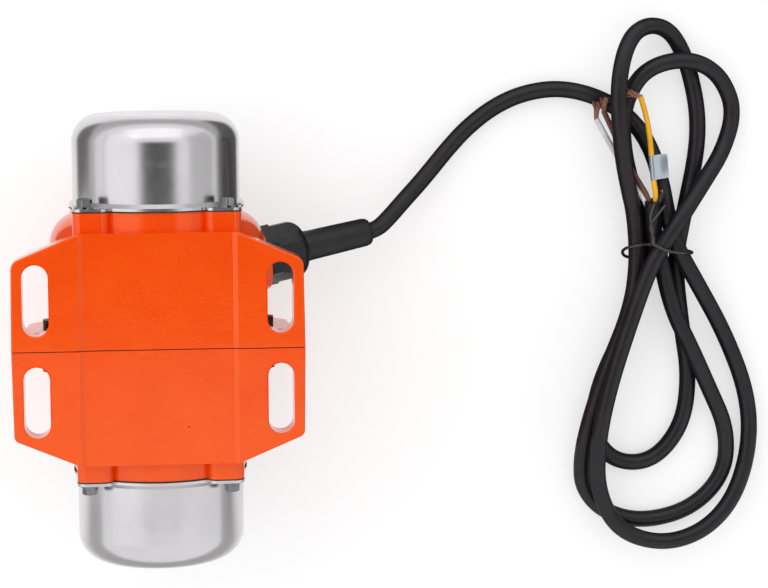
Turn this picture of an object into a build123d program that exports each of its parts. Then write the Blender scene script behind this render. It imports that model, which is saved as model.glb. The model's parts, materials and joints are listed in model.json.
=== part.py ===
from build123d import *
import os
from math import atan, atan2, cos, degrees, pi, radians, sin, sqrt, tan

# Vibration motor, millimetres. X runs along the shaft and Z up out of the mounting face.
# The origin is under the middle of the motor, on the surface that it lies on.

# Driving sizes of the cast housing
body_radius = 46.3
ground_gap = 0.7
body_end = 55.4
shoulder_radius = 14.5
neck_radius = 37.2
neck_end = 57.0
joint_gap = 0.4
gasket_inset = 0.4

# Mounting plate
plate_face = 42.0
plate_thick = 12.0
plate_half_width = 61.3
plate_draft = 0.014
plate_side_length = 37.4
plate_end = 49.0
panel_half_width = 33.2
plate_edge_round = 0.8
gland_end_corner = 4.5
plain_end_corner = 3.0
panel_depth = 1.2
panel_slope = 2.0
slot_spacing_x = 42.8
slot_spacing_y = 102.0
slot_length = 29.9
slot_width = 10.9
slot_edge = 0.6

# Flange where the two halves meet, and its clamping screws
seam_wall = 6.4
wing_half_width = 57.0
wing_foot_width = 55.5
wing_foot_height = 1.0
wing_root_width = 44.0
wing_root_height = -16.0
wing_round = 5.0
foot_offset = 31.0
foot_width = 14.0
foot_height = 13.0
foot_round = 1.5
side_clamp_z = 25.0
clamp_gap = 0.4
clamp_radius = 2.5
clamp_head_radius = 4.25
clamp_head_height = 5.0
clamp_socket_flats = 4.0
clamp_socket_depth = 2.5
clamp_nut_flats = 8.0
clamp_nut_height = 4.0
clamp_end_reach = 1.0
screw_clearance = 0.25
thread_clearance = 0.05
cutter_reach = 1.0

# Square ears that the cap screws go into
ear_half_width = 35.4
ear_inner = 20.0
ear_round = 4.0
ear_start = 40.0
cap_screw_offset = 30.2

# Weight caps
cap_radius = 36.0
cap_wall = 1.2
cap_length = 39.6
cap_end_round = 12.0
cap_rim_width = 1.7
cap_gasket_thick = 0.6
cap_bore_clearance = 0.5
cap_screw_radius = 2.0
cap_screw_length = 14.0
cap_head_flats = 6.2
cap_head_height = 3.4
cap_head_turn = 15.0
cap_head_crown = 0.2
cap_head_bevel = 0.4
cap_washer_radius = 4.2
cap_washer_thick = 0.7

# Stator, windings and rotor
stator_radius = 36.5
stator_half_length = 24.0
stator_seat_step = 1.5
stator_bore = 22.3
stator_slots = 18
stator_slot_width = 3.8
stator_slot_bottom = 32.0
stator_tooth_tip = 2.2
stator_slot_mouth = 1.8
winding_clearance = 0.2
winding_radius = 33.8
winding_reach = 12.0
winding_round = 3.5
air_gap = 0.4
rotor_bars = 14
rotor_bar_radius = 1.9
rotor_bar_circle = 17.8
cage_ring_inner = 13.6
cage_ring_length = 6.0
cage_bar_inset = 1.0

# Shaft, bearings and their retainers
core_seat_radius = 11.0
shaft_shoulder_radius = 10.5
journal_radius = 8.5
weight_seat_radius = 7.5
shaft_end = 89.0
shaft_chamfer = 1.0
bearing_radius = 20.0
bearing_width = 12.0
bearing_start = 40.5
bearing_lip_height = 2.6
race_wall = 3.4
ball_radius = 3.3
ball_count = 7
ball_clearance = 0.12
cage_half_height = 0.9
cage_half_width = 4.4
cage_pocket_clearance = 0.3
preload_thick = 1.2
circlip_thick = 1.6
circlip_depth = 1.0
circlip_width = 3.0
circlip_band = 2.0
cavity_end = 38.0

# Unbalance weights at each end of the shaft
sleeve_radius = 11.5
weight_gap = 0.4
weight_start = 60.0
weight_thick = 11.0
weight_radius = 30.0
weight_brim = 3.0
weight_round = 3.0
hub_radius = 13.5
running_clearance = 0.04
key_width = 5.0
key_height = 5.0
key_length = 8.0
key_seat = 3.0
clamp_ear_width = 19.0
clamp_ear_height = 21.0
clamp_slit = 2.0
weight_screw_radius = 2.5
weight_screw_height = 16.0
weight_head_radius = 4.2
weight_head_height = 4.0
end_washer_radius = 12.0
end_washer_thick = 1.5
end_clip_radius = 10.0
end_clip_thick = 1.1
end_clip_depth = 0.5

# Cable gland, on a line that leaves the body at a slant
gland_x = 32.7
gland_spot_height = 1.1
gland_down = 16.5
gland_slant = 10.2
gland_boss_radius = 14.6
gland_thread_radius = 10.0
gland_thread_length = 8.0
gland_flats = 23.4
gland_hex_thick = 5.0
gland_washer_thick = 1.0
gland_nut_length = 14.2
gland_nut_dome = 6.0
gland_mouth_radius = 6.7
gland_corner_reach = 0.9
gland_claw_radius = 8.0
gland_claw_wall = 1.0
gland_claw_length = 9.0
boot_length = 32.2
boot_root_radius = 6.6
boot_tip_radius = 6.2
boot_round = 2.0
cord_radius = 3.8
cord_clearance = 0.1

# Loose cord: route of its first stretch, then the tied hank that it ends in
cord_inner_end = 7.0
bend_share = 0.45
route_start = 44.0
cord_route = [
    (42.8, -99.3, 17.6),
    (50.3, -113.4, 13.2),
    (64.7, -127.3, 8.6),
    (82.3, -138.7, 5.4),
    (96.4, -152.8, 4.4),
    (103.9, -171.3, 4.4),
    (103.5, -191.3, 5.2),
    (95.5, -208.5, 8.5),
]
hank_height = 22.0
hank_outline = [
    (33, -216), (60, -209), (86, -207), (104, -206.5), (122, -212), (133, -220), (137, -229),
    (130, -241), (119, -252), (107, -263), (93, -267), (76, -262), (58, -251), (42, -243.5),
    (28, -243.5), (12, -252), (-10, -264), (-40, -275), (-62, -277), (-86, -270), (-102, -255),
    (-110, -234), (-105, -213), (-95, -200), (-81, -192.5), (-65, -191), (-48, -195), (-31, -201),
    (-7, -209), (16, -215.5),
]
hank_top_window = [
    (60, -222), (72, -217), (86, -215.5), (104, -216), (117, -223), (121, -230), (114, -238),
    (102, -243), (88, -243), (72, -240), (60, -233),
]
hank_low_window = [
    (2, -226), (-14, -217), (-34, -208), (-50, -205), (-60, -211), (-62, -221), (-54, -232),
    (-40, -237), (-22, -238), (-6, -235),
]
tie_x = 31.0
tie_width = 2.6
tie_thick = 1.2
tie_groove = 4.8
tie_bottom = 0.5
tie_crown = 21.0
tie_side_low = -216.6
tie_side_high = -242.9
tie_tail_length = 24.0
tie_tail_spread = 0.16

# Bare core ends of the cord, fanned out in the hank's upper window
core_radius = 1.25
copper_radius = 0.8
copper_length = 7.0
core_routes = {
    "core_yellow": [(59.5, -227.3, 12.5), (79.0, -224.8, 12.5), (87.0, -223.2, 12.5), (95.0, -221.0, 12.5)],
    "core_brown": [(59.9, -221.1, 13.0), (68.0, -216.6, 13.0), (76.0, -211.9, 13.0), (84.0, -207.9, 13.4),
                   (90.0, -205.2, 13.6)],
    "core_clear": [(59.9, -217.6, 12.8), (68.6, -213.0, 12.8), (78.0, -207.3, 12.8), (85.0, -202.6, 12.8)],
    "core_black": [(59.6, -229.8, 8.7), (62.6, -229.6, 8.7), (66.0, -229.2, 8.7)],
}
core_tunnel = [
    (59, -215.2), (68.6, -210.6), (78, -205.0), (92, -195.6), (99, -200), (92, -207), (84, -210.2),
    (76, -214.3), (68, -219.2), (62, -222.8), (59, -222.8),
]
core_tunnel_low = 10.8
core_tunnel_high = 15.4
label_length = 11.0
label_width = 5.6
label_thick = 0.6
label_place = 62.6

# Values that follow from the driving sizes
axis_height = body_radius + ground_gap
clamp_circle = body_radius + clamp_head_radius + clamp_gap
side_clamp_y = sqrt(clamp_circle**2 - side_clamp_z**2)
base_clamp_z = -sqrt(clamp_circle**2 - foot_offset**2)
seam_start = joint_gap / 2
cap_base = neck_end + cap_gasket_thick
cap_end = cap_base + cap_length
plate_underside = plate_face - plate_thick
panel_face = plate_face - panel_depth
stator_seat = stator_radius - stator_seat_step
rotor_radius = stator_bore - air_gap
bearing_end = bearing_start + bearing_width
ball_circle = (journal_radius + bearing_radius) / 2
inner_race_radius = journal_radius + race_wall
outer_race_radius = bearing_radius - race_wall
circlip_outer = bearing_radius + circlip_depth
outer_weight_start = weight_start + weight_thick + weight_gap
end_washer_start = outer_weight_start + weight_thick + weight_gap
end_clip_start = end_washer_start + end_washer_thick
gland_seat_radius = body_radius + gland_spot_height
gland_line = Vector(
    sin(radians(gland_slant)),
    -cos(radians(gland_slant)) * cos(radians(gland_down)),
    -cos(radians(gland_slant)) * sin(radians(gland_down)),
)
gland_seat = Vector(
    gland_x,
    -gland_seat_radius * cos(radians(gland_down)),
    -gland_seat_radius * sin(radians(gland_down)),
)
gland_plane = Plane(origin=gland_seat, x_dir=(1, 0, 0), z_dir=gland_line)
gland_hex_start = gland_washer_thick
gland_nut_start = gland_hex_start + gland_hex_thick
boot_start = gland_nut_start + gland_nut_length
boot_end = boot_start + boot_length


def write(name, *solids):
    """Lift solids from the shaft axis to their height and keep them as one node."""
    lifted = [Pos(0, 0, axis_height) * solid for solid in solids]
    write_in_place(name, *lifted)


def write_in_place(name, *solids):
    shape = solids[0] if len(solids) == 1 else Compound(children=list(solids))
    export_step(shape, f"parts/{name}.step")


def profile(points, rounds=None):
    """A closed outline whose numbered corners are rounded."""
    face = make_face(Polyline(*points, close=True))
    for index, radius in (rounds or {}).items():
        corner = face.vertices().sort_by_distance(Vector(*points[index]))[0]
        face = fillet(corner, radius)
    return face


def turned(points, rounds=None):
    """A solid turned about the shaft axis from (x, radius) points."""
    return revolve(profile(points, rounds), axis=Axis.X)


def rod(radius, start, end, y=0.0, z=0.0):
    """A round bar along the shaft direction."""
    return extrude(Plane.YZ.offset(start) * (Pos(y, z) * Circle(radius)), amount=end - start)


def block(low, high):
    """A box between two opposite corners."""
    size = Vector(*high) - Vector(*low)
    middle = (Vector(*high) + Vector(*low)) * 0.5
    return Pos(middle) * Box(size.X, size.Y, size.Z)


def ring(inner, outer, start, end):
    return rod(outer, start, end) - rod(inner, start, end)


def hexagon(flats, start, end, y, z, turn=0.0):
    """A hexagonal prism along the shaft direction."""
    outline = Pos(y, z) * Rot(0, 0, turn) * RegularPolygon(flats / 2, 6, major_radius=False)
    return extrude(Plane.YZ.offset(start) * outline, amount=end - start)


def cross_plate(outline, start, end):
    """A flat outline in Y and Z, given thickness along the shaft."""
    return extrude(Plane.YZ.offset(start) * outline, amount=end - start)


def along_gland(outline, start, end, taper=0.0):
    """An outline across the gland's line, given thickness along it."""
    return extrude(gland_plane.offset(start) * outline, amount=end - start, taper=taper)


def other_end(shape):
    return mirror(shape, about=Plane.YZ)


def square_points(offset):
    return [(y, z) for y in (-offset, offset) for z in (-offset, offset)]


def clamp_points():
    side = [(y, side_clamp_z) for y in (-side_clamp_y, side_clamp_y)]
    base = [(y, base_clamp_z) for y in (-foot_offset, foot_offset)]
    return side + base


# Housing halves
def mounting_plate(corner):
    """Half of the mounting plate, from the seam to its end, with its two slots."""
    side = plate_half_width - plate_draft * plate_side_length
    points = [
        (seam_start, -plate_half_width),
        (plate_side_length, -side),
        (plate_end, -panel_half_width),
        (plate_end, panel_half_width),
        (plate_side_length, side),
        (seam_start, plate_half_width),
    ]
    outline = profile(points, {1: corner, 4: corner})
    plate = extrude(Pos(0, 0, plate_underside) * outline, amount=plate_thick)
    top_edges = plate.edges().filter_by(lambda e: e.center().Z > plate_face - plate_edge_round)
    rim = top_edges.filter_by(lambda e: e.center().X > seam_start + plate_edge_round)
    plate = fillet(rim, plate_edge_round)
    panel = [
        (-panel_half_width, plate_face),
        (-panel_half_width + panel_slope, plate_face - panel_depth),
        (panel_half_width - panel_slope, plate_face - panel_depth),
        (panel_half_width, plate_face),
        (panel_half_width, plate_face + panel_depth),
        (-panel_half_width, plate_face + panel_depth),
    ]
    plate -= cross_plate(profile(panel), 0, plate_end + panel_depth)
    for y in (-slot_spacing_y / 2, slot_spacing_y / 2):
        place = Pos(slot_spacing_x / 2, y, plate_face)
        plate -= extrude(place * SlotOverall(slot_length, slot_width), amount=-plate_thick)
        rim_slot = SlotOverall(slot_length + 2 * slot_edge, slot_width + 2 * slot_edge)
        plate -= extrude(place * rim_slot, amount=-slot_edge, taper=45)
    return plate


def seam_outline(inset=0.0):
    """The flange between the halves: side wings under the plate and two feet at the base."""
    lower = Pos(0, panel_face - inset - body_radius) * Rectangle(2 * body_radius, 2 * body_radius)
    wings = [
        (wing_half_width - inset, plate_underside + plate_edge_round),
        (-wing_half_width + inset, plate_underside + plate_edge_round),
        (-wing_foot_width + inset, wing_foot_height + inset),
        (-wing_root_width + inset, wing_root_height + inset),
        (wing_root_width - inset, wing_root_height + inset),
        (wing_foot_width - inset, wing_foot_height + inset),
    ]
    outline = (Circle(body_radius - inset) & lower) + profile(wings, {2: wing_round, 5: wing_round})
    for y in (-foot_offset, foot_offset):
        foot = RectangleRounded(foot_width - 2 * inset, foot_height, foot_round)
        outline += Pos(y, foot_height / 2 - axis_height + inset) * foot
    return outline


def half_body():
    """The barrel of one half with its rounded shoulder, neck and square ears."""
    barrel = turned(
        [(seam_start, 0), (seam_start, body_radius), (body_end, body_radius), (body_end, 0)],
        {2: shoulder_radius},
    )
    low = (-body_end, -body_radius, panel_face)
    barrel -= block(low, (2 * body_end, body_radius, panel_face + body_radius))
    past_panel = (plate_end, -panel_half_width, ear_inner)
    barrel -= block(past_panel, (2 * body_end, panel_half_width, body_radius))
    barrel += rod(neck_radius, ear_start, neck_end)
    ear_size = ear_half_width - ear_inner
    ear_place = (ear_half_width + ear_inner) / 2
    for y, z in square_points(ear_place):
        ear = Pos(y, z) * RectangleRounded(ear_size, ear_size, ear_round)
        barrel += cross_plate(ear, ear_start, neck_end)
    web_width = 2 * (panel_half_width - panel_slope)
    web = Pos(0, plate_underside / 2 + plate_edge_round) * Rectangle(web_width, plate_underside)
    barrel += cross_plate(web, seam_start, plate_end - plate_edge_round)
    return barrel


def half_bores(seat_shoulder):
    """The room inside one half: stator bore, winding room and bearing seat."""
    bores = turned([
        (0, 0),
        (0, stator_radius),
        (stator_half_length, stator_radius),
        (stator_half_length, stator_seat),
        (cavity_end, stator_seat),
        (cavity_end, bearing_radius - bearing_lip_height),
        (seat_shoulder, bearing_radius - bearing_lip_height),
        (seat_shoulder, bearing_radius),
        (neck_end, bearing_radius),
        (neck_end, 0),
    ])
    bores += rod(circlip_outer, bearing_end, bearing_end + circlip_thick)
    hole_depth = neck_end - cap_screw_length
    for y, z in square_points(cap_screw_offset):
        bores += rod(cap_screw_radius + thread_clearance, hole_depth, neck_end, y, z)
    for y, z in clamp_points():
        bores += rod(clamp_radius + screw_clearance, 0, seam_wall + seam_start, y, z)
    return bores


def housing_half(corner, seat_shoulder):
    half = half_body() + mounting_plate(corner)
    half += cross_plate(seam_outline(), seam_start, seam_start + seam_wall)
    return half - half_bores(seat_shoulder)


def gland_end_housing():
    """The half that carries the cable gland, with a boss and a spot face for it."""
    boss = along_gland(Circle(gland_boss_radius), -gland_thread_length, 0)
    boss -= rod(stator_seat, seam_start, cavity_end)
    half = housing_half(gland_end_corner, bearing_start) + boss
    half -= along_gland(Circle(gland_boss_radius), 0, gland_hex_thick)
    return half - along_gland(Circle(gland_thread_radius), -2 * gland_thread_length, cutter_reach)


def plain_end_housing():
    return other_end(housing_half(plain_end_corner, bearing_start - preload_thick))


def seam_gasket():
    strip = Rectangle(2 * (plate_half_width - gasket_inset), plate_thick - 2 * gasket_inset)
    outline = seam_outline(gasket_inset)
    outline += Pos(0, plate_face - plate_thick / 2) * strip
    outline -= Pos(0, plate_face) * Rectangle(2 * panel_half_width, 2 * (panel_depth + gasket_inset))
    outline -= Circle(stator_radius + gasket_inset)
    for y, z in clamp_points():
        outline -= Pos(y, z) * Circle(clamp_radius + screw_clearance)
    return cross_plate(outline, -seam_start, seam_start)


def clamp_screw(y, z):
    """A socket head screw through both flanges."""
    head_start = seam_start + seam_wall
    nut_end = head_start + clamp_nut_height
    screw = rod(clamp_radius, -nut_end - clamp_end_reach, head_start, y, z)
    screw += rod(clamp_head_radius, head_start, head_start + clamp_head_height, y, z)
    head_end = head_start + clamp_head_height
    return screw - hexagon(clamp_socket_flats, head_end - clamp_socket_depth, head_end, y, z)


def clamp_nut(y, z):
    start = -seam_start - seam_wall - clamp_nut_height
    nut = hexagon(clamp_nut_flats, start, start + clamp_nut_height, y, z, turn=clamp_turn(y, z))
    return nut - rod(clamp_radius + thread_clearance, start, start + clamp_nut_height, y, z)


def clamp_turn(y, z):
    """Turn a nut so that one of its flats faces the barrel."""
    return degrees(atan2(z, y)) + 180 / 6


# Caps, gaskets and their screws
def tab_outline(clearance=0.0):
    """The cap's rim with four square tabs over the housing's ears."""
    size = ear_half_width - ear_inner
    place = (ear_half_width + ear_inner) / 2
    outline = Circle(cap_radius + cap_rim_width)
    for y, z in square_points(place):
        outline += Pos(y, z) * RectangleRounded(size, size, ear_round)
    for y, z in square_points(cap_screw_offset):
        outline -= Pos(y, z) * Circle(cap_screw_radius + screw_clearance)
    return outline - Circle(cap_radius - cap_wall - clearance)


def weight_cap():
    """A drawn steel cup with a rounded end and a flat rim."""
    outer = turned(
        [(cap_base, 0), (cap_base, cap_radius), (cap_end, cap_radius), (cap_end, 0)],
        {2: cap_end_round},
    )
    inner_radius = cap_radius - cap_wall
    inner_end = cap_end - cap_wall
    inner = turned(
        [(cap_base, 0), (cap_base, inner_radius), (inner_end, inner_radius), (inner_end, 0)],
        {2: cap_end_round - cap_wall},
    )
    flare = turned([
        (cap_base, inner_radius),
        (cap_base, cap_radius + cap_rim_width),
        (cap_base + cap_wall, cap_radius + cap_rim_width),
        (cap_base + cap_wall + cap_rim_width, cap_radius),
        (cap_base + cap_wall + cap_rim_width, inner_radius),
    ])
    rim = cross_plate(tab_outline(), cap_base, cap_base + cap_wall)
    cup = outer - inner + flare + rim
    for y, z in square_points(cap_screw_offset):
        top = cap_base + cap_wall + cap_screw_length
        cup -= rod(cap_screw_radius + screw_clearance, cap_base, cap_base + cap_wall, y, z)
        cup -= rod(cap_washer_radius + screw_clearance, cap_base + cap_wall, top, y, z) - outer
    return cup


def cap_gasket():
    return cross_plate(tab_outline(cap_bore_clearance), neck_end, cap_base)


def cap_screw(y, z):
    """A hexagon head screw with a slightly domed head."""
    seat = cap_base + cap_wall + cap_washer_thick
    head = hexagon(cap_head_flats, seat, seat + cap_head_height, y, z, turn=cap_head_turn)
    crown = rod(cap_head_flats / 2 + cap_head_crown, seat, seat + cap_head_height, y, z)
    crown = chamfer(crown.edges().sort_by(Axis.X)[-1], cap_head_bevel)
    head = head & crown
    return head + rod(cap_screw_radius, seat - cap_screw_length + cap_head_height, seat, y, z)


def cap_washer(y, z):
    start = cap_base + cap_wall
    end = start + cap_washer_thick
    disc = rod(cap_washer_radius, start, end, y, z)
    return disc - rod(cap_screw_radius + thread_clearance, start, end, y, z)


# Stator and rotor
def stator_core():
    slot = Rectangle(stator_slot_width, stator_slot_bottom - stator_bore - stator_tooth_tip)
    slot_middle = (stator_slot_bottom + stator_bore + stator_tooth_tip) / 2
    mouth = Rectangle(stator_slot_mouth, stator_tooth_tip + 2 * cutter_reach)
    outline = Circle(stator_radius) - Circle(stator_bore)
    for number in range(stator_slots):
        turn = Rot(0, 0, number * 360 / stator_slots)
        outline -= turn * Pos(0, slot_middle) * slot
        outline -= turn * Pos(0, stator_bore + stator_tooth_tip / 2) * mouth
    return cross_plate(outline, -stator_half_length, stator_half_length)


def stator_windings():
    """Rounded end turns at both ends, joined by the conductors that fill the slots."""
    bottom = stator_bore + stator_tooth_tip + winding_clearance
    start = stator_half_length + winding_clearance
    end = stator_half_length + winding_reach
    end_turn = turned(
        [(start, bottom), (end, bottom), (end, winding_radius), (start, winding_radius)],
        {1: winding_round, 2: winding_round},
    )
    height = stator_slot_bottom - winding_clearance - bottom
    bar = Rectangle(stator_slot_width - 2 * winding_clearance, height)
    windings = end_turn + other_end(end_turn)
    for number in range(stator_slots):
        place = Rot(0, 0, number * 360 / stator_slots) * Pos(0, bottom + height / 2)
        windings += cross_plate(place * bar, -start - cutter_reach, start + cutter_reach)
    return windings


def bar_places():
    return [Rot(0, 0, n * 360 / rotor_bars) * Pos(0, rotor_bar_circle) for n in range(rotor_bars)]


def rotor_core():
    outline = Circle(rotor_radius) - Circle(core_seat_radius)
    for place in bar_places():
        outline -= place * Circle(rotor_bar_radius)
    return cross_plate(outline, -stator_half_length, stator_half_length)


def squirrel_cage():
    """Cast bars through the core, joined by a ring at each end."""
    end = stator_half_length + cage_ring_length
    end_ring = ring(cage_ring_inner, rotor_radius, stator_half_length, end)
    cage = end_ring + other_end(end_ring)
    for place in bar_places():
        bar_end = end - cage_bar_inset
        cage += cross_plate(place * Circle(rotor_bar_radius), -bar_end, bar_end)
    return cage


def shaft():
    clip_end = end_clip_start + end_clip_thick
    clip_radius = weight_seat_radius - end_clip_depth
    half = [
        (0, 0),
        (0, core_seat_radius),
        (stator_half_length, core_seat_radius),
        (stator_half_length + shaft_chamfer, shaft_shoulder_radius),
        (bearing_start, shaft_shoulder_radius),
        (bearing_start, journal_radius),
        (weight_start, journal_radius),
        (weight_start, weight_seat_radius),
        (end_clip_start, weight_seat_radius),
        (end_clip_start, clip_radius),
        (clip_end, clip_radius),
        (clip_end, weight_seat_radius),
        (shaft_end - shaft_chamfer, weight_seat_radius),
        (shaft_end, weight_seat_radius - shaft_chamfer),
        (shaft_end, 0),
    ]
    body = turned(half)
    body -= weight_key(key_clearance=running_clearance)
    return body + other_end(body)


# Bearings
def race_groove():
    """The groove that the balls run in, cut into both rings."""
    middle = bearing_start + bearing_width / 2
    section = Pos(middle, ball_circle) * Circle(ball_radius + ball_clearance)
    return revolve(section, axis=Axis.X)


def bearing_outer_ring():
    return ring(outer_race_radius, bearing_radius, bearing_start, bearing_end) - race_groove()


def bearing_inner_ring():
    return ring(journal_radius, inner_race_radius, bearing_start, bearing_end) - race_groove()


def ball_places():
    middle = bearing_start + bearing_width / 2
    angles = [radians(n * 360 / ball_count) for n in range(ball_count)]
    return [Pos(middle, ball_circle * cos(a), ball_circle * sin(a)) for a in angles]


def bearing_balls():
    return [place * Sphere(ball_radius) for place in ball_places()]


def bearing_cage():
    """A flat ring between the races with a round pocket for each ball."""
    middle = bearing_start + bearing_width / 2
    low = ball_circle - cage_half_height
    high = ball_circle + cage_half_height
    band = ring(low, high, middle - cage_half_width, middle + cage_half_width)
    for place in ball_places():
        band -= place * Sphere(ball_radius + cage_pocket_clearance)
    return band


def preload_washer():
    start = bearing_start - preload_thick
    inner = bearing_radius - bearing_lip_height + thread_clearance
    return ring(inner, bearing_radius - thread_clearance, start, bearing_start)


def bearing_circlip():
    """A split ring in the groove outside the bearing, with two eyes at its gap."""
    end = bearing_end + circlip_thick
    inner = bearing_radius - circlip_width
    clip = ring(inner, circlip_outer, bearing_end, end)
    eye = Pos(0, inner) * Circle(circlip_width)
    outside = ring(bearing_radius - circlip_band, body_radius, bearing_end, end)
    clip += cross_plate(eye, bearing_end, end) - outside
    gap = Pos(0, inner) * Rectangle(circlip_thick, 3 * circlip_width)
    return clip - cross_plate(gap, bearing_end, end)


def weight_sleeve():
    return ring(journal_radius, sleeve_radius, bearing_end, weight_start)


# Unbalance weights
def weight_outline():
    """A half disc that hangs from a round hub."""
    height = weight_radius + weight_brim
    lobe = Circle(weight_radius) & (Pos(0, weight_brim - height / 2) * Rectangle(2 * weight_radius, height))
    corners = lobe.vertices().sort_by(Axis.Y)[-2:]
    return fillet(corners, weight_round) + Circle(hub_radius)


def weight_key(key_clearance=0.0):
    """The key that holds the inner weight on the shaft, or with a clearance its slot."""
    width = key_width + 2 * key_clearance
    start = weight_start + (weight_thick - key_length) / 2 - key_clearance
    end = weight_start + (weight_thick + key_length) / 2 + key_clearance
    top = weight_seat_radius - key_seat + key_height + key_clearance
    bottom = weight_seat_radius - key_seat - key_clearance
    outline = Pos(0, (top + bottom) / 2) * Rectangle(width, top - bottom)
    return cross_plate(outline, start, end)


def inner_weight():
    end = weight_start + weight_thick
    weight = cross_plate(weight_outline(), weight_start, end)
    weight -= rod(weight_seat_radius, weight_start, end)
    top = weight_seat_radius - key_seat + key_height + running_clearance
    slot = Pos(0, top / 2) * Rectangle(key_width + 2 * running_clearance, top)
    return weight - cross_plate(slot, weight_start, end)


def weight_screw_rod(radius, start, end):
    """A round bar across the outer weight's clamping ears."""
    middle = outer_weight_start + weight_thick / 2
    plane = Plane(origin=(middle, 0, weight_screw_height), x_dir=(1, 0, 0), z_dir=(0, 1, 0))
    return extrude(plane.offset(start) * Circle(radius), amount=end - start)


def outer_weight():
    """The adjustable weight, with a split hub that one screw clamps."""
    end = outer_weight_start + weight_thick
    ears = Pos(0, clamp_ear_height / 2) * Rectangle(clamp_ear_width, clamp_ear_height)
    outline = weight_outline() + ears
    outline -= Circle(weight_seat_radius + running_clearance)
    slit_height = clamp_ear_height + cutter_reach
    outline -= Pos(0, slit_height / 2) * Rectangle(clamp_slit, slit_height)
    weight = cross_plate(outline, outer_weight_start, end)
    return weight - weight_screw_rod(
        weight_screw_radius + thread_clearance, -clamp_ear_width, clamp_ear_width
    )


def weight_screw():
    half = clamp_ear_width / 2
    screw = weight_screw_rod(weight_screw_radius, -half, half)
    head = weight_screw_rod(weight_head_radius, half, half + weight_head_height)
    socket_plane = Plane(
        origin=(outer_weight_start + weight_thick / 2, half + weight_head_height, weight_screw_height),
        x_dir=(1, 0, 0),
        z_dir=(0, -1, 0),
    )
    socket = RegularPolygon(clamp_socket_flats / 2, 6, major_radius=False)
    return screw + head - extrude(socket_plane * socket, amount=clamp_socket_depth)


def end_washer():
    end = end_washer_start + end_washer_thick
    return ring(weight_seat_radius, end_washer_radius, end_washer_start, end)


def end_clip():
    end = end_clip_start + end_clip_thick
    clip = ring(weight_seat_radius - end_clip_depth, end_clip_radius, end_clip_start, end)
    gap = Pos(0, end_clip_radius) * Rectangle(end_clip_radius, 2 * end_clip_depth + end_clip_radius)
    return clip - cross_plate(gap, end_clip_start, end)


# Cable gland and boot
def far_rim(shape):
    """The round edge at the end that is farthest out along the gland's line."""
    rims = shape.edges().filter_by(GeomType.CIRCLE)
    return rims.sort_by_distance(gland_seat + gland_line * 2 * boot_end)[0]


def gland_washer():
    outline = Circle(gland_flats / 2) - Circle(gland_thread_radius + thread_clearance)
    return along_gland(outline, 0, gland_washer_thick)


def gland_body():
    hexagonal = RegularPolygon(gland_flats / 2, 6, major_radius=False)
    body = along_gland(hexagonal, gland_hex_start, gland_nut_start)
    body += along_gland(Circle(gland_thread_radius - thread_clearance), -gland_thread_length, gland_hex_start)
    claws_end = gland_nut_start + gland_claw_length
    body += along_gland(Circle(gland_claw_radius + gland_claw_wall), gland_nut_start, claws_end)
    bore = Circle(cord_radius + cord_clearance)
    body -= along_gland(bore, -gland_thread_length, claws_end)
    return body - along_gland(Circle(gland_claw_radius - gland_claw_wall), gland_nut_start, claws_end)


def gland_seal():
    start = gland_nut_start
    outline = Circle(gland_claw_radius - gland_claw_wall - thread_clearance)
    outline -= Circle(cord_radius + cord_clearance)
    return along_gland(outline, start, start + gland_claw_length)


def gland_nut():
    """A hexagonal cap nut that rounds in to the boot."""
    end = boot_start
    hexagonal = RegularPolygon(gland_flats / 2, 6, major_radius=False)
    nut = along_gland(hexagonal, gland_nut_start, end)
    dome = along_gland(Circle(gland_flats / 2 + gland_corner_reach), gland_nut_start, end)
    dome = fillet(far_rim(dome), gland_nut_dome)
    nut = nut & dome
    claws_end = gland_nut_start + gland_claw_length
    room = Circle(gland_claw_radius + gland_claw_wall + thread_clearance)
    nut -= along_gland(room, gland_nut_start, claws_end)
    return nut - along_gland(Circle(gland_mouth_radius), claws_end, end)


def cord_boot():
    """A soft tapered sleeve held in the cap nut, rounded at its tip."""
    inner = gland_nut_start + gland_claw_length
    root = along_gland(Circle(gland_mouth_radius - thread_clearance), inner, boot_start)
    taper = degrees(atan((boot_root_radius - boot_tip_radius) / boot_length))
    sleeve = along_gland(Circle(boot_root_radius), boot_start, boot_end, taper=taper)
    sleeve = fillet(far_rim(sleeve), boot_round)
    bore = along_gland(Circle(cord_radius + cord_clearance), inner, boot_end)
    return root + sleeve - bore


# Cord, hank and core ends
def gland_point(distance):
    """A point on the gland's line, measured from the body, at its place above the ground."""
    return gland_seat + gland_line * distance + Vector(0, 0, axis_height)


def corner_radii(points):
    """The radius of each corner, as large as the two runs beside it allow."""
    radii = []
    for before, here, after in zip(points, points[1:], points[2:]):
        into = here - before
        out = after - here
        half_turn = radians(into.get_angle(out)) / 2
        radii.append(bend_share * min(into.length, out.length) / tan(half_turn))
    return radii


def cord_lead():
    start = gland_point(-cord_inner_end)
    points = [gland_point(route_start)] + [Vector(*point) for point in cord_route]
    radii = corner_radii(points)
    print("cord radii", [round(radius, 1) for radius in radii])
    path = Wire([Line(start, points[0])] + list(FilletPolyline(*points, radius=radii).edges()))
    section = Plane(origin=start, z_dir=path % 0) * Circle(cord_radius)
    tube = sweep(section, path=path)
    expected = pi * cord_radius**2 * path.length
    print("cord tube length", round(path.length, 1), "volume share", round(tube.volume / expected, 4))
    return tube


def hank():
    """The outer shape of the tied figure of eight, with its two open windows."""
    outline = make_face(Spline(*hank_outline, periodic=True))
    for window in (hank_top_window, hank_low_window):
        outline -= make_face(Spline(*window, periodic=True))
    body = extrude(outline, amount=hank_height)
    tunnel_floor = Pos(0, 0, core_tunnel_low) * profile(core_tunnel)
    tunnel = extrude(tunnel_floor, amount=core_tunnel_high - core_tunnel_low)
    return body - tie_band(tie_width, tie_groove) - tunnel


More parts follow.
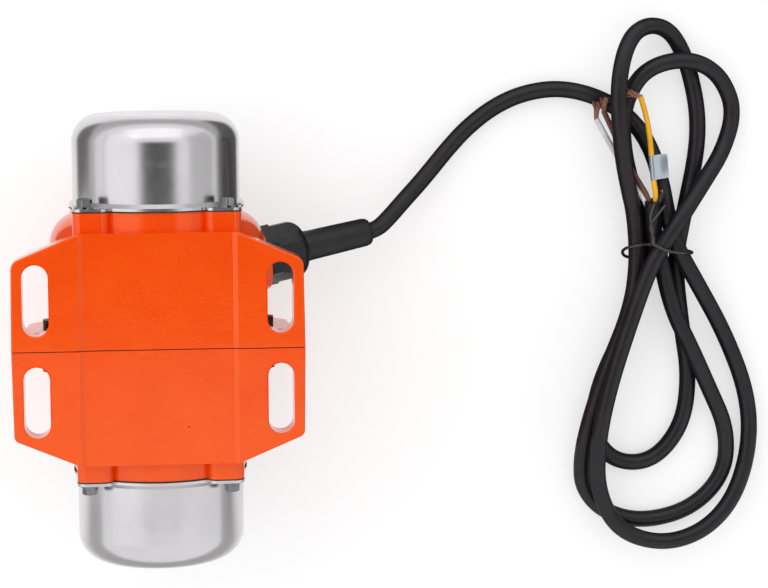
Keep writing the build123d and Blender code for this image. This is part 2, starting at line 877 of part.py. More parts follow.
def tie_band(width, thick):
    """A flat band round the waist of the hank, thick as measured outward from the cord."""
    inner_width = tie_side_low - tie_side_high - 2 * tie_thick
    inner_height = tie_crown - tie_bottom - 2 * tie_thick
    centre = Pos((tie_side_low + tie_side_high) / 2, (tie_crown + tie_bottom) / 2)
    inner = RectangleRounded(inner_width, inner_height, tie_thick)
    outer = RectangleRounded(inner_width + 2 * thick, inner_height + 2 * thick, tie_thick)
    return cross_plate(centre * (outer - inner), tie_x - width / 2, tie_x + width / 2)


def twist_tie():
    """A wire tie round the hank, knotted on top, with its two twisted ends lying there."""
    half_width = tie_width / 2 - thread_clearance
    tie = tie_band(2 * half_width, tie_thick)
    middle = (tie_side_low + tie_side_high) / 2
    near = middle - 2 * tie_thick
    far = middle + 2 * tie_thick
    knot_start = hank_height + thread_clearance
    knot_top = hank_height + 2 * tie_thick
    tie += block((tie_x - half_width, near, tie_crown - tie_thick), (tie_x + half_width, far, knot_top))
    tie += block((tie_x - tie_width, near, knot_start), (tie_x + tie_width, far, knot_top))
    for side in (-1, 1):
        start = Vector(tie_x, middle + side * tie_thick, knot_start + tie_thick / 2)
        reach = Vector(1, -side * tie_tail_spread, 0).normalized() * tie_tail_length
        tie += straight_tube(start, start + reach, tie_thick / 2)
    return tie


def straight_tube(start, end, radius):
    plane = Plane(origin=start, z_dir=end - start)
    return extrude(plane * Circle(radius), amount=(end - start).length)


def core_wire(route):
    points = [Vector(*point) for point in route]
    path = FilletPolyline(*points, radius=corner_radii(points))
    section = Plane(origin=points[0], z_dir=path % 0) * Circle(core_radius)
    return sweep(section, path=path)


def copper_end(route):
    points = [Vector(*point) for point in route]
    way = (points[-1] - points[-2]).normalized()
    return straight_tube(points[-1], points[-1] + way * copper_length, copper_radius)


def wire_label():
    """A small blank flag folded round the yellow core."""
    before, after = [Vector(*point) for point in core_routes["core_yellow"][:2]]
    way = (after - before).normalized()
    start = before + way * (label_place - before.X)
    plane = Plane(origin=start, x_dir=(0, 0, 1), z_dir=way)
    flag = RectangleRounded(2 * (core_radius + label_thick), label_width, label_thick)
    outline = Pos(0, label_width / 4) * flag - Circle(core_radius + thread_clearance)
    return extrude(plane * outline, amount=label_length)


def main():
    os.makedirs("parts", exist_ok=True)
    write("gland_end_housing", gland_end_housing())
    write("plain_end_housing", plain_end_housing())
    write("seam_gasket", seam_gasket())
    write("clamp_screws", *[clamp_screw(y, z) for y, z in clamp_points()])
    write("clamp_nuts", *[clamp_nut(y, z) for y, z in clamp_points()])
    write("stator_core", stator_core())
    write("stator_windings", stator_windings())
    write("rotor_core", rotor_core())
    write("squirrel_cage", squirrel_cage())
    write("shaft", shaft())
    screws = [cap_screw(y, z) for y, z in square_points(cap_screw_offset)]
    washers = [cap_washer(y, z) for y, z in square_points(cap_screw_offset)]
    write("cap_screws", *screws, *[other_end(screw) for screw in screws])
    write("cap_washers", *washers, *[other_end(washer) for washer in washers])
    write("weight_keys", weight_key(), other_end(weight_key()))
    write("weight_sleeves", weight_sleeve(), other_end(weight_sleeve()))
    write("end_washers", end_washer(), other_end(end_washer()))
    write("end_clips", end_clip(), other_end(end_clip()))
    write("bearing_circlips", bearing_circlip(), other_end(bearing_circlip()))
    write("preload_washer", other_end(preload_washer()))
    for end, place in (("gland_end", lambda shape: shape), ("plain_end", other_end)):
        write(f"{end}_cap", place(weight_cap()))
        write(f"{end}_cap_gasket", place(cap_gasket()))
        write(f"{end}_bearing_outer_ring", place(bearing_outer_ring()))
        write(f"{end}_bearing_inner_ring", place(bearing_inner_ring()))
        write(f"{end}_bearing_cage", place(bearing_cage()))
        write(f"{end}_bearing_balls", *[place(ball) for ball in bearing_balls()])
        write(f"{end}_inner_weight", place(inner_weight()))
        write(f"{end}_outer_weight", place(outer_weight()))
        write(f"{end}_weight_screw", place(weight_screw()))
    write("gland_washer", gland_washer())
    write("gland_body", gland_body())
    write("gland_seal", gland_seal())
    write("gland_nut", gland_nut())
    write("cord_boot", cord_boot())
    write_in_place("cord_lead", cord_lead())
    write_in_place("cord_hank", hank())
    write_in_place("twist_tie", twist_tie())
    for name, route in core_routes.items():
        write_in_place(name, core_wire(route))
    write_in_place("copper_ends", *[copper_end(route) for route in core_routes.values()])
    write_in_place("wire_label", wire_label())


main()
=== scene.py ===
import bmesh
import bpy
from math import cos, pi, sin
from mathutils import Matrix, Vector
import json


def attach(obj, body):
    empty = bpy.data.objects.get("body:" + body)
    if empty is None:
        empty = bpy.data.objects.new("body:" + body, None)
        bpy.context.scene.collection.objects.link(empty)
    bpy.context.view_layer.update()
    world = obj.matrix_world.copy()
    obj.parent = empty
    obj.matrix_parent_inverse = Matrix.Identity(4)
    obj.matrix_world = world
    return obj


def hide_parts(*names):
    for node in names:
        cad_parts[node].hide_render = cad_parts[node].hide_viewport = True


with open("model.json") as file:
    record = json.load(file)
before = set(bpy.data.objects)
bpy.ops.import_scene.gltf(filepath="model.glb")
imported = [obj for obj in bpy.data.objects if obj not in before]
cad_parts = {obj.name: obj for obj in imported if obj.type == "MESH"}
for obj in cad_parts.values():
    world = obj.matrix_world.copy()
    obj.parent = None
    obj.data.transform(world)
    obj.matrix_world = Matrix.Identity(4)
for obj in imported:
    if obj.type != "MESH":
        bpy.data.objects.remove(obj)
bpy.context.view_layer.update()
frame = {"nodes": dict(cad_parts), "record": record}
nodes = frame["nodes"]
scene = bpy.context.scene

# Camera, above the motor as the photograph was taken
camera_place = Vector((0.13905, 0.00376, 1.04242))
camera_pitch = 0.1215
camera_yaw = 0.1027
camera_roll = 0.0048
camera_lens = 107.553
sensor_width = 36

# Cord, in metres
cord_diameter = 0.0076
cord_exit = Vector((0.04200, -0.09495, 0.01887))
cord_points = [
    (0.0427, -0.0989, 0.0177), (0.0481, -0.1049, 0.0150), (0.0550, -0.1116, 0.0116),
    (0.0614, -0.1180, 0.0090), (0.0686, -0.1246, 0.0068), (0.0777, -0.1323, 0.0052),
    (0.0878, -0.1419, 0.0042), (0.0971, -0.1542, 0.0039), (0.1031, -0.1680, 0.0039),
    (0.1053, -0.1850, 0.0039), (0.1007, -0.2030, 0.0039),
    # over the floor to the tie
    (0.0918, -0.2170, 0.0039), (0.0790, -0.2263, 0.0050), (0.0620, -0.2310, 0.0095),
    (0.0480, -0.2332, 0.0116), (0.0330, -0.2373, 0.0116),
    # outer loop at the lower end
    (0.0160, -0.2474, 0.0105), (-0.0096, -0.2626, 0.0060), (-0.0380, -0.2742, 0.0040),
    (-0.0630, -0.2755, 0.0050), (-0.0870, -0.2670, 0.0100), (-0.1020, -0.2520, 0.0118),
    (-0.1075, -0.2320, 0.0118), (-0.1002, -0.2110, 0.0118), (-0.0800, -0.2008, 0.0145),
    (-0.0560, -0.2003, 0.0192), (-0.0310, -0.2055, 0.0192), (-0.0020, -0.2147, 0.0192),
    (0.0220, -0.2232, 0.0192), (0.0320, -0.2287, 0.0192),
    # small loop at the upper end
    (0.0460, -0.2380, 0.0192), (0.0610, -0.2490, 0.0140), (0.0760, -0.2606, 0.0065),
    (0.0940, -0.2661, 0.0042), (0.1084, -0.2598, 0.0065), (0.1161, -0.2491, 0.0120),
    (0.1180, -0.2365, 0.0120), (0.1134, -0.2226, 0.0119), (0.1025, -0.2148, 0.0118),
    (0.0900, -0.2120, 0.0116), (0.0760, -0.2136, 0.0085), (0.0630, -0.2174, 0.0046),
    (0.0499, -0.2215, 0.0038), (0.0319, -0.2238, 0.0038),
    # inner loop at the lower end
    (0.0200, -0.2218, 0.0038), (-0.0070, -0.2155, 0.0038), (-0.0310, -0.2038, 0.0038),
    (-0.0540, -0.1995, 0.0038), (-0.0692, -0.2100, 0.0038), (-0.0700, -0.2290, 0.0038),
    (-0.0530, -0.2434, 0.0038), (-0.0290, -0.2463, 0.0038), (-0.0060, -0.2424, 0.0038),
    (0.0240, -0.2387, 0.0038),
    # large loop at the upper end
    (0.0480, -0.2432, 0.0038), (0.0750, -0.2487, 0.0038), (0.0930, -0.2490, 0.0038),
    (0.1100, -0.2455, 0.0038), (0.1218, -0.2412, 0.0040), (0.1307, -0.2351, 0.0060),
    (0.1339, -0.2261, 0.0095), (0.1306, -0.2170, 0.0135), (0.1208, -0.2112, 0.0175),
    (0.1060, -0.2085, 0.0193), (0.0900, -0.2091, 0.0193), (0.0740, -0.2111, 0.0176),
    (0.0600, -0.2146, 0.0138), (0.0470, -0.2182, 0.0116), (0.0250, -0.2197, 0.0115),
    # middle loop at the lower end, back to the tie
    (0.0030, -0.2167, 0.0115), (-0.0250, -0.2052, 0.0115), (-0.0480, -0.1976, 0.0115),
    (-0.0660, -0.1942, 0.0095), (-0.0815, -0.1958, 0.0053), (-0.0932, -0.2065, 0.0038),
    (-0.0982, -0.2250, 0.0038), (-0.0926, -0.2482, 0.0038), (-0.0765, -0.2637, 0.0038),
    (-0.0550, -0.2647, 0.0045), (-0.0330, -0.2539, 0.0088), (-0.0140, -0.2447, 0.0118),
    (0.0030, -0.2360, 0.0118), (0.0270, -0.2303, 0.0115), (0.0412, -0.2264, 0.0117),
    (0.0536, -0.2258, 0.0156),
]

# Cable gland's line and the boot on it
gland_line = Vector((0.1771, -0.9437, -0.2795)).normalized()
boot_length = 0.0322
boot_root = cord_exit - gland_line * boot_length

# Core ends
core_diameter = 0.0025
core_routes = {
    "yellow": [
        (0.0440, -0.2266, 0.0124), (0.0548, -0.2274, 0.0160), (0.0635, -0.2258, 0.0152),
        (0.0744, -0.2250, 0.0150), (0.0858, -0.2236, 0.0160), (0.0955, -0.2212, 0.0168),
        (0.1013, -0.2192, 0.0170),
    ],
    "brown": [
        (0.0440, -0.2258, 0.0122), (0.0532, -0.2250, 0.0150), (0.0631, -0.2193, 0.0120),
        (0.0732, -0.2133, 0.0113), (0.0830, -0.2088, 0.0122), (0.0947, -0.2032, 0.0128),
    ],
    "clear": [
        (0.0440, -0.2252, 0.0122), (0.0516, -0.2240, 0.0144), (0.0585, -0.2190, 0.0116),
        (0.0686, -0.2130, 0.0112), (0.0792, -0.2068, 0.0110), (0.0912, -0.2001, 0.0112),
    ],
    "black": [
        (0.0440, -0.2262, 0.0122), (0.0500, -0.2270, 0.0160), (0.0540, -0.2288, 0.0168),
        (0.0570, -0.2301, 0.0155),
    ],
}
copper_ways = {
    "yellow": Vector((0.0022, 0.0068, 0.0004)),
    "brown": Vector((0.0062, -0.0002, 0.0004)),
    "clear": Vector((0.0078, -0.0002, 0.0004)),
    "black": Vector((0.0014, 0.0002, -0.0010)),
}
strand_count = 26
strand_radius = 0.0002
full_fray = 0.006
golden_angle = 2.399963
strand_twist = 1.3
strand_flare = (0.0008, 0.0013, 0.0018, 0.0024)
tie_radius = 0.0007

# Studio, in metres
floor_half = 3
floor_drop = 0.0003
floor_tone = 0.52
floor_glow = 0.55
glow_centre = (0.03, 0, 0)
glow_radii = (0.15, 0.22)
world_strength = (0.83, 1.0)
fade_lead = 0.1
fade_span = (0.28, 0.5)
lamps = {
    # name: place, aim, size, watts
    "key_lamp": ((0.40, 1.15, 1.05), (0.40, 0.0, 0.05), (1.6, 1.4), 5.9),
    "top_lamp": ((1.20, 0.05, 1.05), (0.08, 0.0, 0.05), (2.0, 1.2), 3.4),
}
cards = {
    # name: place, size, turn, tone, whether its edges fade
    "key_card": ((0.40, 1.19, 1.05), (1.6, 1.5), (-0.855, 0, 0), 0.50, False),
    "ceiling_card": ((0.14, -0.08, 1.6), (0.72, 1.7), (0, 0, 0), 0.02, True),
    # two dark cards on the floor beside the motor, seen only in reflections: painted shade of the floor
    # there
    "left_floor_shade_card": ((0.125, 0.20, 0.001), (0.15, 0.22), (0, 0, 0), 0.16, False),
    "right_floor_shade_card": ((0.07, -0.65, 0.001), (0.26, 1.16), (0, 0, 0), 0.10, False),
    "side_card": ((0.38, -1.3, 0.75), (1.25, 1.1), (pi / 2, 0, 0), 0.75, False),
}

# Plain finishes: dark colour, light colour, least and most roughness, and a polymer's gloss
plain_metals = {
    "zinc_steel": ((0.17, 0.17, 0.18), (0.25, 0.25, 0.26), 0.08, 0.14),
    "dark_steel": ((0.030, 0.030, 0.034), (0.065, 0.065, 0.07), 0.35, 0.5),
    "stacked_laminations": ((0.16, 0.165, 0.18), (0.24, 0.245, 0.26), 0.4, 0.55),
    "copper_winding": ((0.42, 0.13, 0.045), (0.62, 0.22, 0.08), 0.3, 0.45),
    "cast_alloy": ((0.50, 0.51, 0.52), (0.64, 0.65, 0.66), 0.45, 0.6),
    "turned_steel": ((0.42, 0.42, 0.43), (0.56, 0.56, 0.57), 0.2, 0.32),
    "bearing_steel": ((0.55, 0.55, 0.56), (0.66, 0.66, 0.67), 0.1, 0.2),
    "pressed_brass": ((0.55, 0.36, 0.12), (0.70, 0.48, 0.17), 0.25, 0.38),
    "weight_iron": ((0.10, 0.10, 0.105), (0.18, 0.18, 0.185), 0.4, 0.55),
    "bare_copper": ((0.30, 0.14, 0.10), (0.55, 0.30, 0.23), 0.4, 0.55),
}
plain_polymers = {
    "gasket_paper": ((0.022, 0.018, 0.015), (0.04, 0.034, 0.03), 0.8, 0.95, 0.35),
    "gland_nylon": ((0.006, 0.006, 0.0065), (0.010, 0.010, 0.011), 0.30, 0.42, 0.38),
    "black_rubber": ((0.009, 0.0088, 0.0095), (0.014, 0.0135, 0.015), 0.36, 0.48, 0.38),
    "cord_sheath": ((0.0095, 0.0080, 0.0100), (0.0135, 0.0115, 0.0140), 0.30, 0.40, 0.34),
    "tie_plastic": ((0.012, 0.012, 0.014), (0.018, 0.018, 0.021), 0.14, 0.22, 0.8),
    "yellow_core": ((0.86, 0.40, 0.012), (0.95, 0.50, 0.02), 0.3, 0.4, 0.35),
    "brown_core": ((0.11, 0.045, 0.032), (0.16, 0.07, 0.05), 0.35, 0.45, 0.35),
    "clear_core": ((0.62, 0.62, 0.66), (0.76, 0.76, 0.80), 0.25, 0.35, 0.35),
    "black_core": ((0.012, 0.012, 0.012), (0.02, 0.02, 0.02), 0.35, 0.45, 0.35),
}


# Camera
def add_camera():
    """Stand the camera where the photograph was taken from."""
    forward = Vector((
        -sin(camera_pitch),
        -sin(camera_yaw) * cos(camera_pitch),
        -cos(camera_yaw) * cos(camera_pitch),
    ))
    level = Vector((0, -cos(camera_yaw), sin(camera_yaw)))
    upright = level.cross(forward)
    right = level * cos(camera_roll) - upright * sin(camera_roll)
    up = level * sin(camera_roll) + upright * cos(camera_roll)
    data = bpy.data.cameras.new("photo_camera")
    data.lens = camera_lens
    data.sensor_width = sensor_width
    data.clip_start = 0.02
    camera = bpy.data.objects.new("photo_camera", data)
    turn = Matrix((right, up, -forward)).transposed().to_4x4()
    camera.matrix_world = Matrix.Translation(camera_place) @ turn
    scene.collection.objects.link(camera)
    scene.camera = camera


# Shader nodes
def material(name, **values):
    """A new material with plain values on its shader."""
    made = bpy.data.materials.new(name)
    made.use_nodes = True
    shader = made.node_tree.nodes["Principled BSDF"]
    for socket, value in values.items():
        shader.inputs[socket.replace("_", " ")].default_value = value
    return made


def grey(tone):
    """An opaque grey."""
    return tone, tone, tone, 1


def math_node(tree, operation, *values):
    """Combine values, each a socket or a number."""
    node = tree.nodes.new("ShaderNodeMath")
    node.operation = operation
    for socket, value in zip(node.inputs, values):
        if isinstance(value, bpy.types.NodeSocket):
            tree.links.new(value, socket)
        else:
            socket.default_value = value
    return node.outputs[0]


def map_range(tree, source, span, values, blend="LINEAR"):
    """Map a span of the source to the values at its two ends, level past them."""
    node = tree.nodes.new("ShaderNodeMapRange")
    node.interpolation_type = blend
    for socket, value in zip(("From Min", "From Max", "To Min", "To Max"), (*span, *values)):
        node.inputs[socket].default_value = value
    tree.links.new(source, node.inputs["Value"])
    return node.outputs["Result"]


def noise(made, size, detail=3.0, stretch=(1, 1, 1)):
    """Noise with features about size metres wide, in the object's own frame."""
    tree = made.node_tree
    coordinates = tree.nodes.new("ShaderNodeTexCoord")
    mapping = tree.nodes.new("ShaderNodeMapping")
    mapping.inputs["Scale"].default_value = stretch
    texture = tree.nodes.new("ShaderNodeTexNoise")
    texture.inputs["Scale"].default_value = 1 / size
    texture.inputs["Detail"].default_value = detail
    tree.links.new(coordinates.outputs["Object"], mapping.inputs["Vector"])
    tree.links.new(mapping.outputs["Vector"], texture.inputs["Vector"])
    return texture.outputs["Fac"]


def ramp(made, source, *stops):
    """A colour ramp of (position, colour) stops."""
    node = made.node_tree.nodes.new("ShaderNodeValToRGB")
    elements = node.color_ramp.elements
    for element, (position, colour) in zip(elements, stops):
        element.position = position
        element.color = (*colour, 1)
    made.node_tree.links.new(source, node.inputs["Fac"])
    return node.outputs["Color"]


def spread(made, source, low, high):
    """Map the middle of a noise to the values from low to high."""
    return map_range(made.node_tree, source, (0.3, 0.7), (low, high))


def mix(made, share, first, second):
    """Blend two colours by a share from 0 to 1."""
    node = made.node_tree.nodes.new("ShaderNodeMix")
    node.data_type = "RGBA"
    made.node_tree.links.new(share, node.inputs["Factor"])
    made.node_tree.links.new(first, node.inputs["A"])
    made.node_tree.links.new(second, node.inputs["B"])
    return node.outputs["Result"]


def drive(made, socket, source):
    """Link a source to one of the shader's sockets."""
    shader = made.node_tree.nodes["Principled BSDF"]
    made.node_tree.links.new(source, shader.inputs[socket])


def bump(made, source, height, below=None):
    """Relief of a height in metres, over the relief of another bump if one is given."""
    node = made.node_tree.nodes.new("ShaderNodeBump")
    node.inputs["Distance"].default_value = height
    made.node_tree.links.new(source, node.inputs["Height"])
    if below:
        made.node_tree.links.new(below, node.inputs["Normal"])
    return node.outputs["Normal"]


# Finishes
def orange_enamel():
    """Glossy orange paint with fine peel and a few small dark chips."""
    made = material(
        "orange_enamel", Coat_Weight=0.25, Coat_Roughness=0.05,
        Specular_IOR_Level=0.55, Specular_Tint=(1.0, 0.86, 0.42, 1),
    )
    paint = noise(made, size=0.03)
    tone = ramp(made, paint, (0.35, (0.920, 0.071, 0.002)), (0.65, (0.950, 0.084, 0.003)))
    chips = noise(made, size=0.0035, detail=4)
    share = ramp(made, chips, (0.755, (0, 0, 0)), (0.77, (1, 1, 1)))
    primer = noise(made, size=0.001)
    bare = ramp(made, primer, (0.4, (0.20, 0.030, 0.012)), (0.6, (0.34, 0.050, 0.015)))
    drive(made, "Base Color", mix(made, share, tone, bare))
    drive(made, "Roughness", spread(made, noise(made, size=0.02), 0.10, 0.15))
    peel = bump(made, noise(made, size=0.0011, detail=2), height=0.00006)
    sag = bump(made, noise(made, size=0.012, detail=2), height=0.0002, below=peel)
    drive(made, "Normal", sag)
    return made


def spun_stainless():
    """Deep-drawn sheet with a faint brushing along the shaft's way."""
    made = material("spun_stainless", Metallic=1.0, Anisotropic=0.3)
    sheet = noise(made, size=0.02)
    brushing = noise(made, size=0.0007, detail=3, stretch=(1, 0.16, 0.16))
    tone = ramp(made, sheet, (0.3, (0.63, 0.617, 0.63)), (0.7, (0.68, 0.667, 0.68)))
    drive(made, "Base Color", tone)
    drive(made, "Roughness", spread(made, brushing, 0.21, 0.24))
    drive(made, "Normal", bump(made, brushing, height=0.00000015))
    return made


def plain_metal(name, dark, light, low, high):
    """Metal between two colours and two roughnesses, with a fine grain."""
    made = material(name, Metallic=1.0)
    drive(made, "Base Color", ramp(made, noise(made, size=0.004), (0.35, dark), (0.65, light)))
    drive(made, "Roughness", spread(made, noise(made, size=0.0015), low, high))
    drive(made, "Normal", bump(made, noise(made, size=0.0004), height=0.00001))
    return made


def plain_polymer(name, dark, light, low, high, gloss, relief=0.00002):
    """Plastic, rubber or paper between two colours and two roughnesses, with a fine grain."""
    made = material(name, Specular_IOR_Level=gloss)
    drive(made, "Base Color", ramp(made, noise(made, size=0.01), (0.35, dark), (0.65, light)))
    drive(made, "Roughness", spread(made, noise(made, size=0.006), low, high))
    drive(made, "Normal", bump(made, noise(made, size=0.0005, detail=2), height=relief))
    return made


def silvered_foil():
    """Grey foil, half as mirror-like as bare metal."""
    made = plain_polymer(
        "label_foil", (0.42, 0.48, 0.54), (0.50, 0.56, 0.62), 0.16, 0.26, gloss=0.35, relief=0.000005,
    )
    made.node_tree.nodes["Principled BSDF"].inputs["Metallic"].default_value = 0.55
    return made


finishes = {name: plain_metal(name, *values) for name, values in plain_metals.items()}
finishes.update({name: plain_polymer(name, *values) for name, values in plain_polymers.items()})
finishes["lamination"] = finishes.pop("stacked_laminations")
finishes["orange_enamel"] = orange_enamel()
finishes["stainless"] = spun_stainless()
finishes["label_foil"] = silvered_foil()


def dress_nodes():
    """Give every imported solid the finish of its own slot."""
    for part in frame["record"]["subparts"]:
        mesh = nodes[part["node"]].data
        mesh.materials.clear()
        mesh.materials.append(finishes[part["material_slot"]])


# Pieces
def place(piece, finish):
    """Link a new piece to the scene with its finish, on the housing."""
    scene.collection.objects.link(piece)
    piece.data.materials.append(finishes[finish])
    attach(piece, "housing")
    return piece


def solid_object(name, mesh):
    """A new object from a bmesh, which is freed."""
    data = bpy.data.meshes.new(name)
    mesh.to_mesh(data)
    mesh.free()
    return bpy.data.objects.new(name, data)


def flat_square(name, half):
    """A level square of twice the half."""
    mesh = bmesh.new()
    bmesh.ops.create_grid(mesh, x_segments=1, y_segments=1, size=half)
    return solid_object(name, mesh)


def round_curve(name, splines, radius, resolution=8):
    """A round curve of one or more smooth splines."""
    data = bpy.data.curves.new(name, "CURVE")
    data.dimensions = "3D"
    data.bevel_depth = radius
    data.bevel_resolution = 6
    data.use_fill_caps = True
    data.resolution_u = resolution
    for points in splines:
        spline = data.splines.new("NURBS")
        spline.points.add(len(points) - 1)
        for point, where in zip(spline.points, points):
            point.co = (*where, 1)
        spline.order_u = 3
        spline.use_endpoint_u = True
    return bpy.data.objects.new(name, data)


def lathe(name, root, way, outline, steps=64):
    """A closed skin turned about a line from (distance, radius) points."""
    mesh = bmesh.new()
    side = way.orthogonal().normalized()
    other = way.cross(side)
    angles = [2 * pi * step / steps for step in range(steps)]
    rings = []
    for distance, radius in outline:
        centre = root + way * distance
        rings.append([mesh.verts.new(centre + (side * cos(a) + other * sin(a)) * radius) for a in angles])
    for near, far in zip(rings, rings[1:] + rings[:1]):
        for step in range(steps):
            after = (step + 1) % steps
            mesh.faces.new((near[step], near[after], far[after], far[step]))
    bmesh.ops.recalc_face_normals(mesh, faces=mesh.faces)
    turned = solid_object(name, mesh)
    turned.data.shade_smooth()
    return turned


def add_boot():
    """The tapered strain relief, with a rounded tip and a shallow collar at its root."""
    outline = [
        (-0.0045, 0.0039), (-0.0045, 0.0065), (-0.0010, 0.0065), (0.0000, 0.0065), (0.0006, 0.0068),
        (0.0018, 0.00685), (0.0030, 0.00672), (0.0060, 0.00665), (0.0140, 0.00655), (0.0240, 0.0064),
        (0.0296, 0.0063), (0.0312, 0.0060), (0.0320, 0.0054), (0.0322, 0.0047), (0.0320, 0.0041),
        (0.0310, 0.0039), (0.0100, 0.0039),
    ]
    boot = place(lathe("cable_boot", boot_root, gland_line, outline), "black_rubber")
    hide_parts("cord_boot")
    return boot


def add_cores():
    """The four bare core ends that leave the sheath's end."""
    made = []
    for colour, route in core_routes.items():
        core = place(round_curve(f"{colour}_core_end", [route], core_diameter / 2), f"{colour}_core")
        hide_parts(f"core_{colour}")
        made.append(core)
    return made


def add_copper():
    """Frayed strands at the end of each core."""
    splines = []
    for colour, route in core_routes.items():
        tip = Vector(route[-1])
        way = copper_ways[colour]
        side = way.orthogonal().normalized()
        other = way.normalized().cross(side)
        splay = min(1.0, way.length / full_fray)
        for number in range(strand_count):
            angle = number * golden_angle
            turned = angle + strand_twist
            reach = splay * (number / strand_count) ** 0.5
            offset = (side * cos(angle) + other * sin(angle)) * reach
            twist = (side * cos(turned) + other * sin(turned)) * reach
            uneven = 0.85 + 0.15 * cos(3 * angle)
            splines.append([
                tip - way * 0.1 + offset * strand_flare[0],
                tip + way * 0.3 + offset * strand_flare[1],
                tip + way * 0.7 + twist * strand_flare[2],
                tip + way * uneven + twist * strand_flare[3],
            ])
    copper = place(round_curve("copper_strands", splines, strand_radius, 4), "bare_copper")
    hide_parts("copper_ends")
    return copper


def add_label():
    """A blank flag folded round the yellow core."""
    start = Vector((0.0634, -0.2260, 0.0153))
    end = Vector((0.0745, -0.2250, 0.0152))
    way = (end - start).normalized()
    flat = Vector((0.14, -0.98, 0.10)).normalized()
    lift = flat.cross(way).normalized()
    radius = core_diameter / 2 + 0.0002
    width = 0.0072
    section = [
        (width, 0.00008), (0.0050, 0.0002), (0.0028, 0.0006), (0.0012, 0.00120), (0.0, radius + 0.0001),
        (-0.0009, 0.0011), (-radius, 0.0), (-0.0009, -0.0011), (0.0, -radius), (0.0012, -0.0010),
        (0.0028, -0.0004), (0.0050, -0.00008), (width, -0.0001),
    ]
    length = 0.0113
    overlap = 0.0002
    most_curl = 0.0004
    steps = 6
    mesh = bmesh.new()
    rows = []
    for step in range(steps + 1):
        centre = start + way * (length * step / steps - overlap)
        curl = most_curl * sin(pi * step / steps)
        rows.append([
            mesh.verts.new(centre + flat * u + lift * (v + curl * u / width)) for u, v in section
        ])
    for near, far in zip(rows, rows[1:]):
        for index in range(len(section) - 1):
            mesh.faces.new((near[index], near[index + 1], far[index + 1], far[index]))
    label = solid_object("blank_label", mesh)
    label.data.shade_smooth()
    sheet = label.modifiers.new("thickness", "SOLIDIFY")
    sheet.thickness = 0.00015
    smooth = label.modifiers.new("smooth", "SUBSURF")
    smooth.levels = 2
    smooth.render_levels = 2
    place(label, "label_foil")
    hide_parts("wire_label")
    return label


def add_tie():
    """A thin wire tie round the hank, twisted on top, with two long tails."""
    band = [
        (0.0346, -0.2242, 0.0235), (0.0343, -0.2219, 0.0212), (0.0340, -0.2201, 0.0184),
        (0.0329, -0.2161, 0.0158), (0.0318, -0.2133, 0.0128), (0.0295, -0.2127, 0.0090),
        (0.0268, -0.2157, 0.0050), (0.0270, -0.2211, 0.0014), (0.0290, -0.2230, 0.0009),
        (0.0300, -0.2300, 0.0009), (0.0300, -0.2390, 0.0009), (0.0296, -0.2440, 0.0040),
        (0.0294, -0.2456, 0.0100), (0.0294, -0.2440, 0.0162), (0.0302, -0.2370, 0.0222),
        (0.0318, -0.2290, 0.0250), (0.0346, -0.2242, 0.0235),
    ]
    first_tail = [
        (0.0346, -0.2242, 0.0235), (0.0360, -0.2246, 0.0246), (0.0371, -0.2232, 0.0248),
        (0.0385, -0.2241, 0.0246), (0.0412, -0.2226, 0.0240), (0.0443, -0.2233, 0.0232),
        (0.0480, -0.2267, 0.0218), (0.0517, -0.2302, 0.0200),
    ]
    second_tail = [
        (0.0346, -0.2242, 0.0235), (0.0360, -0.2231, 0.0250), (0.0371, -0.2246, 0.0244),
        (0.0385, -0.2231, 0.0250), (0.0407, -0.2241, 0.0244), (0.0448, -0.2229, 0.0236),
        (0.0488, -0.2231, 0.0226), (0.0525, -0.2252, 0.0212),
    ]
    tie = place(round_curve("wire_tie", [band, first_tail, second_tail], tie_radius), "tie_plastic")
    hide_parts("twist_tie")
    return tie


def add_cord():
    """The loose cord: one smooth curve from the boot to the bare end of its sheath."""
    route = [cord_exit, *cord_points]
    cord = place(round_curve("power_cord", [route], cord_diameter / 2, 10), "cord_sheath")
    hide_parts("cord_lead", "cord_hank")


# Studio
def add_floor():
    """A plain pale floor that keeps the object's shadow.

    It glows to the camera, and in reflections only near the motor.
    """
    floor = flat_square("floor", floor_half)
    floor.location.z = -floor_drop
    made = material("floor_white", Base_Color=grey(floor_tone), Roughness=0.9, Specular_IOR_Level=0.0)
    tree = made.node_tree
    path = tree.nodes.new("ShaderNodeLightPath")
    coordinates = tree.nodes.new("ShaderNodeTexCoord")
    distance = tree.nodes.new("ShaderNodeVectorMath")
    distance.operation = "DISTANCE"
    distance.inputs[1].default_value = glow_centre
    tree.links.new(coordinates.outputs["Object"], distance.inputs[0])
    near = map_range(tree, distance.outputs["Value"], glow_radii, (1, 0))
    mirrored = math_node(tree, "MULTIPLY", path.outputs["Is Glossy Ray"], near)
    seen = math_node(tree, "MAXIMUM", path.outputs["Is Camera Ray"], mirrored)
    shader = tree.nodes["Principled BSDF"]
    shader.inputs["Emission Color"].default_value = grey(1)
    drive(made, "Emission Strength", math_node(tree, "MULTIPLY", seen, floor_glow))
    floor.data.materials.append(made)
    scene.collection.objects.link(floor)


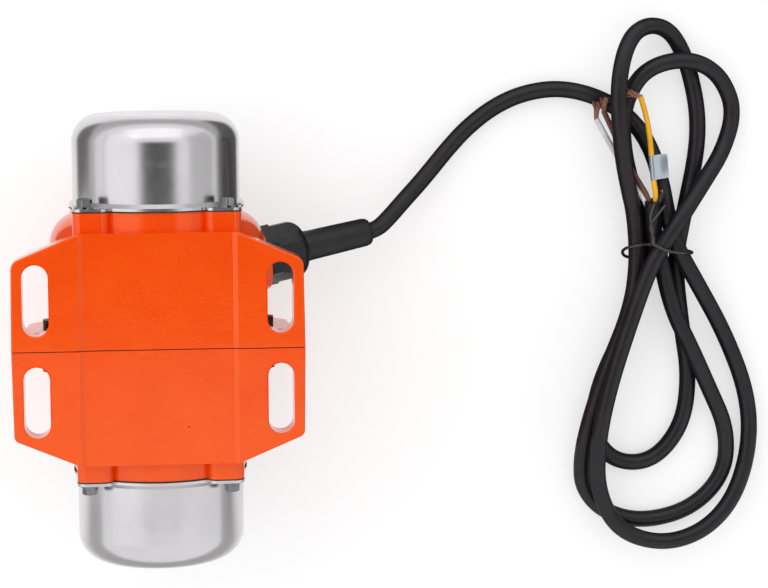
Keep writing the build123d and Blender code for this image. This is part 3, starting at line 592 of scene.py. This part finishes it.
def add_world():
    """White to the camera, in reflections and through clear pieces, softer as light."""
    world = bpy.data.worlds.new("studio")
    scene.world = world
    world.use_nodes = True
    tree = world.node_tree
    back = tree.nodes["Background"]
    back.inputs["Color"].default_value = grey(1)
    path = tree.nodes.new("ShaderNodeLightPath")
    seen = math_node(tree, "MAXIMUM", path.outputs["Is Camera Ray"], path.outputs["Is Glossy Ray"])
    seen = math_node(tree, "MAXIMUM", seen, path.outputs["Is Transmission Ray"])
    tree.links.new(map_range(tree, seen, (0, 1), world_strength), back.inputs["Strength"])


def add_lamp(name, where, aim, size, power):
    """A rectangular lamp that faces the point it is aimed at."""
    data = bpy.data.lights.new(name, "AREA")
    data.shape = "RECTANGLE"
    data.size, data.size_y = size
    data.energy = power
    lamp = bpy.data.objects.new(name, data)
    lamp.location = where
    lamp.rotation_euler = (Vector(aim) - Vector(where)).to_track_quat("-Z", "Y").to_euler()
    scene.collection.objects.link(lamp)


def fade_edges(made):
    """Thin out a unit card towards its sides and its +X end."""
    tree = made.node_tree
    coordinates = tree.nodes.new("ShaderNodeTexCoord")
    parts = tree.nodes.new("ShaderNodeSeparateXYZ")
    tree.links.new(coordinates.outputs["Object"], parts.inputs[0])
    across = math_node(tree, "ABSOLUTE", parts.outputs["Y"])
    along = math_node(tree, "ADD", parts.outputs["X"], fade_lead)
    farther = math_node(tree, "MAXIMUM", across, along)
    drive(made, "Alpha", map_range(tree, farther, fade_span, (1, 0), "SMOOTHSTEP"))


def add_card(name, where, size, turn, tone, fades):
    """A plain card that only reflections show."""
    card = flat_square(name, 0.5)
    card.location = where
    card.rotation_euler = turn
    card.scale = (*size, 1)
    made = material(name, Base_Color=grey(tone), Roughness=1.0)
    if fades:
        fade_edges(made)
    card.data.materials.append(made)
    card.visible_camera = False
    card.visible_diffuse = False
    card.visible_shadow = False
    scene.collection.objects.link(card)


add_camera()
dress_nodes()
boot = add_boot()
on_cord = [boot, *add_cores(), add_copper(), add_label(), add_tie()]
add_cord()
add_floor()
add_world()
for name, values in lamps.items():
    add_lamp(name, *values)
for name, values in cards.items():
    add_card(name, *values)
scene.view_settings.view_transform = "Standard"
